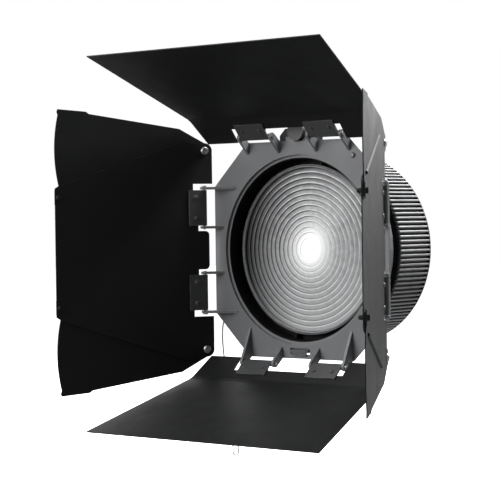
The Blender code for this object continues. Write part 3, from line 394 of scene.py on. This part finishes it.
def steel(name, base=(0.5, 0.5, 0.51), roughness=0.32):
    """Bright steel with fine tool marks and a little tarnish."""
    f = Finish(name, roughness, 1.0)
    marks = f.noise(2600, 2)
    tarnish = f.spread(f.noise(180, 4), 0.42, 0.7)
    f.colour(f.mix(tarnish, base, tuple(c * 0.62 for c in base)))
    f.roughness(f.spread(marks, 0.3, 0.7, roughness - 0.08, roughness + 0.14))
    f.bump(marks, 0.2, 0.02 * MM)
    return f.material


def rubber(name, base):
    """Dusty matt rubber."""
    roughness = 0.62
    f = Finish(name, roughness, 0.0, 0.4)
    dust = f.spread(f.noise(60, 5), 0.45, 0.75)
    f.colour(f.mix(dust, base, tuple(min(1, c * 1.5 + 0.006) for c in base)))
    f.roughness(f.spread(f.noise(400, 3), 0.3, 0.7, roughness - 0.08, roughness + 0.1))
    f.bump(f.noise(2200, 2), 0.4, 0.04 * MM)
    return f.material


def grip_finish(base, top, rim_y):
    """Moulded rubber: satin rib tops, with painted shade making the gaps between the ribs nearly black, and
    the rear rim nearly black.
    """
    f = Finish("grip_moulded", 0.4, 0.0, 0.5)
    radius, parts = radius_of(f)
    # Rib tops, from partway up each rib; lower down, the gaps between the ribs get painted shade.
    raised = f.spread(radius, base + 0.35 * (top - base), top - 0.15 * (top - base))
    before_rim = f.spread(parts.outputs["Y"], rim_y - 0.3 * MM, rim_y, 1.0, 0.1)
    raised = f.maths("MULTIPLY", raised, before_rim)
    dust = f.spread(f.noise(60, 5), 0.4, 0.75)
    crown = f.mix(dust, (0.2, 0.202, 0.206), (0.27, 0.272, 0.276))
    # Painted shade: the gaps between the ribs are painted nearly black.
    f.colour(f.mix(raised, (0.004, 0.004, 0.0045), crown))
    f.roughness(f.spread(f.noise(400, 3), 0.3, 0.7, 0.34, 0.5))
    f.bump(f.noise(2200, 2), 0.35, 0.04 * MM)
    return f.material


def radius_of(f):
    """Distance from the optical axis, in metres, and the node that splits the place into X, Y and Z."""
    parts = f.node("ShaderNodeSeparateXYZ")
    f.link(f.place, parts.inputs[0])
    square = f.maths("ADD", f.maths("MULTIPLY", parts.outputs["X"], parts.outputs["X"]),
                     f.maths("MULTIPLY", parts.outputs["Z"], parts.outputs["Z"]))
    return f.maths("SQRT", square, 0.0), parts


def painted_step_lines(f, radius):
    """Where each of the lens's steps starts, as a thin painted highlight line, and ends, as a groove of
    painted shade.
    """
    step = f.maths("FRACT", f.maths("DIVIDE", f.maths("SUBTRACT", radius, CENTRE_R), RING_PITCH), 0.0)
    line = f.spread(f.maths("ABSOLUTE", f.maths("SUBTRACT", step, 0.12), 0.0), 0.02, 0.14, 1.0, 0.0)
    return line, f.spread(step, 0.78, 0.98)


def ring_streaks(f, radius, parts):
    """Noise drawn out round the lens, and more so towards its rim."""
    angle = f.maths("ARCTAN2", parts.outputs["Z"], parts.outputs["X"])
    shimmer = f.node("ShaderNodeTexNoise", noise_dimensions="2D")
    shimmer.inputs["Scale"].default_value = 1.0
    shimmer.inputs["Detail"].default_value = 3
    pair = f.node("ShaderNodeCombineXYZ")
    f.link(f.maths("MULTIPLY", angle, 7.0), pair.inputs[0])
    f.link(f.maths("MULTIPLY", radius, 210.0), pair.inputs[1])
    f.link(pair.outputs[0], shimmer.inputs["Vector"])
    return f.spread(shimmer.outputs["Fac"], 0.35, 0.65)


def lens_finish():
    """Pressed glass with its lit interior painted in: a painted glow in the middle, grey steps, painted
    shade at the rim, top and -X side, and painted light at the bottom.
    """
    f = Finish("pressed_glass", 0.3, 0.0, 0.4)
    radius, parts = radius_of(f)
    # Painted glow: the middle is painted near white, fading out by 50 mm, as light from the lamp behind the
    # lens.
    painted_glow = f.maths("POWER", f.spread(radius, 3 * MM, 50 * MM, 1.0, 0.0), 2.2)
    # Painted shade, darkening the lens towards its rim.
    rim = f.spread(radius, 50 * MM, CLEAR_R, 0.0, 1.0)
    line, groove = painted_step_lines(f, radius)
    streaks = ring_streaks(f, radius, parts)

    # Painted shade on the -X side and towards the top, and painted light towards the bottom.
    aside = f.spread(parts.outputs["X"], -95 * MM, -18 * MM, 1.0, 0.0)
    below = f.spread(parts.outputs["Z"], -80 * MM, 25 * MM, 1.0, 0.0)
    above = f.spread(parts.outputs["Z"], 20 * MM, 85 * MM)
    steepness = f.maths("DIVIDE", f.maths("ABSOLUTE", parts.outputs["Z"], 0.0), radius)
    upright = f.spread(steepness, 0.2, 0.75, 0.3, 1.0)
    contrast = f.maths("MAXIMUM", upright, f.spread(radius, 70 * MM, 84 * MM))
    crisp = f.maths("MULTIPLY", contrast, f.spread(streaks, 0.0, 1.0, 0.6, 1.0))
    shade = f.maths("MULTIPLY", aside, f.spread(radius, 30 * MM, 86 * MM, 0.25, 0.96))

    # Painted shade in each step's groove and a painted highlight line where each step starts, both stronger
    # towards the top, the bottom and the outer steps.
    painted_groove_shade = f.maths("MULTIPLY", groove, f.maths("MULTIPLY", crisp, 0.85))
    painted_line_highlight = f.maths("MULTIPLY", line, f.maths("MULTIPLY", crisp, 0.8))
    tone = f.mix(painted_glow, (0.27, 0.272, 0.276), (0.95, 0.95, 0.95))
    for share, colour in ((f.maths("MULTIPLY", streaks, 0.45), (0.56, 0.565, 0.57)),
                          (f.maths("MULTIPLY", rim, 0.3), (0.08, 0.081, 0.084)),
                          (f.maths("MULTIPLY", below, 0.55), (0.66, 0.665, 0.67)),
                          (f.maths("MULTIPLY", above, 0.4), (0.1, 0.101, 0.104)),
                          (painted_groove_shade, (0.03, 0.031, 0.033)),
                          (painted_line_highlight, (0.9, 0.905, 0.91)),
                          (shade, (0.014, 0.0142, 0.015))):
        tone = f.mix(share, tone, colour)
    f.colour(tone)
    # The painted glow is emitted too, so the middle of the lens glows though it is no lamp.
    f.shader.inputs["Emission Color"].default_value = WHITE
    f.link(f.maths("MULTIPLY", painted_glow, 0.75), f.shader.inputs["Emission Strength"])
    f.shader.inputs["Coat Weight"].default_value = 0.2
    f.shader.inputs["Coat Roughness"].default_value = 0.3
    f.bump(f.noise(500, 2), 0.08, 0.05 * MM)
    return f.material


def cable_finish():
    """Twisted steel strands, as a slanted ripple round and along the cable."""
    f = Finish("wire_rope", 0.35, 1.0)
    wave = f.node("ShaderNodeTexWave", wave_type="BANDS", bands_direction="DIAGONAL")
    wave.inputs["Scale"].default_value = 420
    wave.inputs["Distortion"].default_value = 0.6
    f.link(f.place, wave.inputs["Vector"])
    f.colour(f.mix(wave.outputs["Fac"], (0.1, 0.1, 0.105), (0.42, 0.42, 0.43)))
    f.bump(wave.outputs["Fac"], 0.6, 0.15 * MM)
    return f.material


# ---------------------------------------------------------------- pieces
def lens_profile():
    """Front steps from the centre outwards, a flat rim and a flat back."""
    front = LENS_LOW.y + LENS_CHAMFER
    back = LENS_HIGH.y
    points = []
    for i in range(CENTRE_CUTS + 1):
        share = i / CENTRE_CUTS
        points.append((CENTRE_R * share, front - LENS_CHAMFER + TOOTH * INNER_TOOTH * share * share))
    for ring in range(RING_COUNT):
        inner = CENTRE_R + ring * RING_PITCH
        depth = TOOTH * (INNER_TOOTH + (1 - INNER_TOOTH) * ring / RING_COUNT)
        points.append((inner + CREST_START, front - 0.25 * MM))
        points.append((inner + CREST_END, front - 0.28 * MM))
        for i in range(1, STEP_CUTS + 1):
            share = i / STEP_CUTS
            points.append((inner + CREST_END + (RING_PITCH - STEP_MARGIN) * share,
                           front - 0.28 * MM + depth * (0.35 * share + 0.65 * share * share)))
    points += [(CLEAR_R + 0.3 * MM, front), (LENS_R - LENS_CHAMFER, front), (LENS_R, front + LENS_CHAMFER),
               (LENS_R, back - LENS_CHAMFER), (LENS_R - LENS_CHAMFER, back), (0, back)]
    return points


def build_lens():
    lens = lathe("stepped_lens", lens_profile(), "lens_carriage", lens_finish(), closed=False, angle=24)
    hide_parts("fresnel_lens")


def build_retainer():
    """Turned ring with a rounded inner edge and a fine groove near its outer edge."""
    outer = RETAINER_HIGH.x
    low, high = RETAINER_LOW.y, RETAINER_HIGH.y
    profile = [(outer - 0.5 * MM, low), (outer, low + 0.5 * MM), (outer, high), (CLEAR_R, high),
               (CLEAR_R, low + 1.0 * MM), (CLEAR_R + 0.5 * MM, low + 0.45 * MM),
               (CLEAR_R + 1.4 * MM, low + 0.12 * MM), (CLEAR_R + 2.2 * MM, low),
               (outer - 2.8 * MM, low), (outer - 2.6 * MM, low + 0.35 * MM),
               (outer - 2.2 * MM, low + 0.35 * MM), (outer - 2.0 * MM, low)]
    finish = painted("ring_satin", (0.2, 0.202, 0.206), 0.4, 1500, 0.05 * MM, 0.5, (0.4, 0.4, 0.41))
    ring = lathe("retaining_ring_turned", profile, "lens_carriage", finish)
    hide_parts("lens_retaining_ring")


def rib_shape(base, top):
    """One rib and the gap after it, as (share of the pitch, radius)."""
    return ((0.0, base), (0.1, base + 0.3 * MM), (0.14, top - 1.0 * MM), (0.2, top - 0.4 * MM),
            (0.28, top - 0.1 * MM), (0.38, top), (0.48, top - 0.1 * MM), (0.56, top - 0.4 * MM),
            (0.62, top - 1.0 * MM), (0.66, base + 0.3 * MM), (0.76, base))


def build_grip():
    """Moulded rubber band: round-topped ribs along the axis, with a plain rim behind them."""
    bore = RING_HIGH.x + GRIP_GAP
    base = bore + GRIP_BASE
    top = base + RIB_HEIGHT - 0.02 * MM
    low, high = GRIP_LOW.y, GRIP_HIGH.y
    rim_y = high - GRIP_RIM
    pitch = 2 * math.pi / RIB_COUNT
    around = [((rib + share) * pitch, radius)
              for rib in range(RIB_COUNT) for share, radius in rib_shape(base, top)]
    work = bmesh.new()

    def add_row(y, radii):
        return [work.verts.new((radius * math.sin(angle), y, radius * math.cos(angle)))
                for (angle, _), radius in zip(around, radii)]

    rows = [add_row(y, [base + (radius - base) * height for _, radius in around])
            for y, height in ((low, 0.0), (low + 0.3 * MM, 0.35), (low + GRIP_FADE, 1.0), (rim_y, 1.0))]
    rows += [add_row(y, [radius] * len(around))
             for y, radius in ((rim_y, top - 0.1 * MM), (high - 0.5 * MM, top - 0.1 * MM),
                               (high, top - 0.6 * MM), (high, bore), (low, bore))]
    for first, second in zip(rows, rows[1:] + rows[:1]):
        for i in range(len(around)):
            j = (i + 1) % len(around)
            work.faces.new((first[i], first[j], second[j], second[i]))
    bmesh.ops.recalc_face_normals(work, faces=work.faces[:])
    mesh = mesh_of(work)
    mesh.shade_smooth()
    mesh.set_sharp_from_angle(angle=math.radians(50))
    grip = new_object("ribbed_grip", mesh, "focus")
    mesh.materials.append(grip_finish(base, top, rim_y))
    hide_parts("focus_grip")


def smooth_route(points, count):
    """Catmull-Rom curve through the route, read at even steps, in the row frame."""
    route = [Vector(p) * MM + Vector((0, FACE_Y, 0)) for p in points]
    route = [2 * route[0] - route[1]] + route + [2 * route[-1] - route[-2]]
    result = []
    spans = len(route) - 3
    for index in range(count):
        place = spans * index / (count - 1)
        span = min(int(place), spans - 1)
        t = place - span
        a, b, c, d = route[span:span + 4]
        result.append(0.5 * (2 * b + (c - a) * t + (2 * a - 5 * b + 4 * c - d) * t * t
                             + (3 * b - a - 3 * c + d) * t ** 3))
    return result


def build_cable():
    """Round wire rope along the route, hanging from the frame to its hook."""
    points = smooth_route(CABLE_ROUTE, CABLE_POINTS)
    curve = bpy.data.curves.new("wire_rope", "CURVE")
    curve.dimensions = "3D"
    curve.bevel_depth = CABLE_R
    curve.bevel_resolution = 4
    curve.use_fill_caps = True
    spline = curve.splines.new("POLY")
    spline.points.add(len(points) - 1)
    for point, place in zip(spline.points, points):
        point.co = (*place, 1)
    curve.materials.append(cable_finish())
    cable = new_object("safety_wire_rope", curve, "head")
    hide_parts("safety_cable")


def dress(names, finish, bevel=0.0):
    """Gives CAD nodes a finish and, where bevel is set, rounded edges."""
    for name in names:
        node = NODES[name]
        node.data.materials.clear()
        node.data.materials.append(finish)
        node.data.shade_smooth()
        node.data.set_sharp_from_angle(angle=math.radians(35))
        if bevel:
            step = node.modifiers.new("rounding", "BEVEL")
            step.width = bevel
            step.segments = 2
            step.limit_method = "ANGLE"
            step.angle_limit = math.radians(50)
            step.harden_normals = True


def starting(*starts):
    return [name for name in NODES if name.startswith(starts)]


def dress_sheets():
    sheet = painted("matt_black_sheet", (0.0056, 0.0058, 0.0062), 0.56, 1300, 0.05 * MM, 0.19,
                    (0.07, 0.07, 0.074))
    dress([name for name in starting("leaf_", "wing_") if not name.startswith("wing_pivot")], sheet)


def dress_castings():
    casting = painted("grey_casting", (0.108, 0.11, 0.114), 0.48, 900, 0.12 * MM, 0.5, WORN_GREY)
    dark = painted("black_casting", (0.006, 0.0062, 0.0066), 0.5, 900, 0.1 * MM, 0.2, (0.06, 0.06, 0.062))
    cell = painted("cell_satin", (0.05, 0.051, 0.053), 0.42, 1500, 0.05 * MM, 0.5, WORN_GREY)
    dress(["barn_door_frame"], casting, 0.5 * MM)
    dress(["rear_housing", "focus_ring"] + starting("guide_clip"), dark)
    dress(["lens_cell"], cell)
    dress(["barrel"], barrel_finish())


def dress_fittings():
    blackened = painted("blackened_steel", (0.036, 0.0365, 0.038), 0.4, 1600, 0.04 * MM, 0.6,
                        (0.34, 0.34, 0.35))
    knob = painted("moulded_knob", (0.018, 0.0185, 0.0195), 0.5, 1500, 0.1 * MM, 0.5, (0.1, 0.1, 0.1))
    dress(starting("hinge_plate", "bayonet_screw", "bottom_claw"), blackened)
    dress(["latch_knob"], knob, 0.6 * MM)
    dress(["lens_gasket"], rubber("gasket_rubber", (0.02, 0.02, 0.02)))
    dress(starting("hinge_pin", "cam_follower", "bayonet_mount", "cable_", "snap_hook", "latch_spring"),
          steel("turned_steel"))
    dress(starting("wing_pivot"), steel("rivet_steel", (0.42, 0.42, 0.43), 0.38))
    dress(["frame_screw"], steel("dull_screw", (0.16, 0.16, 0.165), 0.5))


def build_all():
    dress_sheets()
    dress_castings()
    dress_fittings()
    build_lens()
    build_retainer()
    build_grip()
    build_cable()


build_camera()
build_all()
build_stage()
